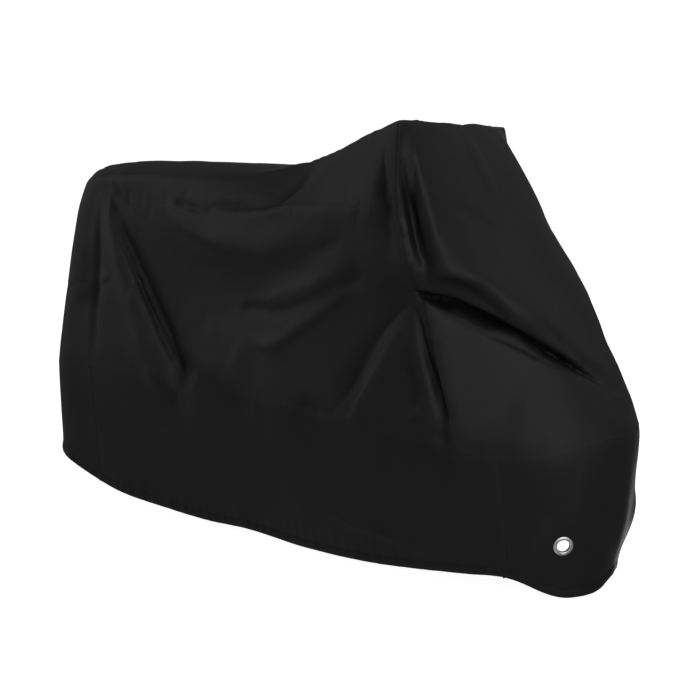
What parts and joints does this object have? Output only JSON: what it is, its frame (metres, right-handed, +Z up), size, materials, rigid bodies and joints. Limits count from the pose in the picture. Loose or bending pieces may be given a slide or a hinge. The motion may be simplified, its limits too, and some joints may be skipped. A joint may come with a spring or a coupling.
{
  "type": "motorcycle cover",
  "caption": "Draped outdoor motorcycle cover of thin coated cloth, hollow and open at its hem, with a raised handlebar line, a deep front pleat, side seams and steel eyelets low at the front.",
  "frame": {"origin": "below the middle of the cover, level with the lowest point of its hem", "axes": "+X to the vehicle's front, +Y to its left, +Z up"},
  "size_m": [1.9916, 0.6734, 1.1643],
  "materials": {
    "coated_cloth": "black coated polyester, fine plain weave, dull with a soft sheen",
    "eyelet_steel": "bright plated steel"
  },
  "bodies": {
    "root": {"centre_panel": "coated_cloth", "side_panel_right": "coated_cloth", "side_panel_left": "coated_cloth", "skirt_rear": "coated_cloth", "skirt_right": "coated_cloth", "skirt_left": "coated_cloth", "skirt_front": "coated_cloth", "eyelet_right": "eyelet_steel", "washer_right": "eyelet_steel", "eyelet_left": "eyelet_steel", "washer_left": "eyelet_steel"}
  },
  "joints": []
}
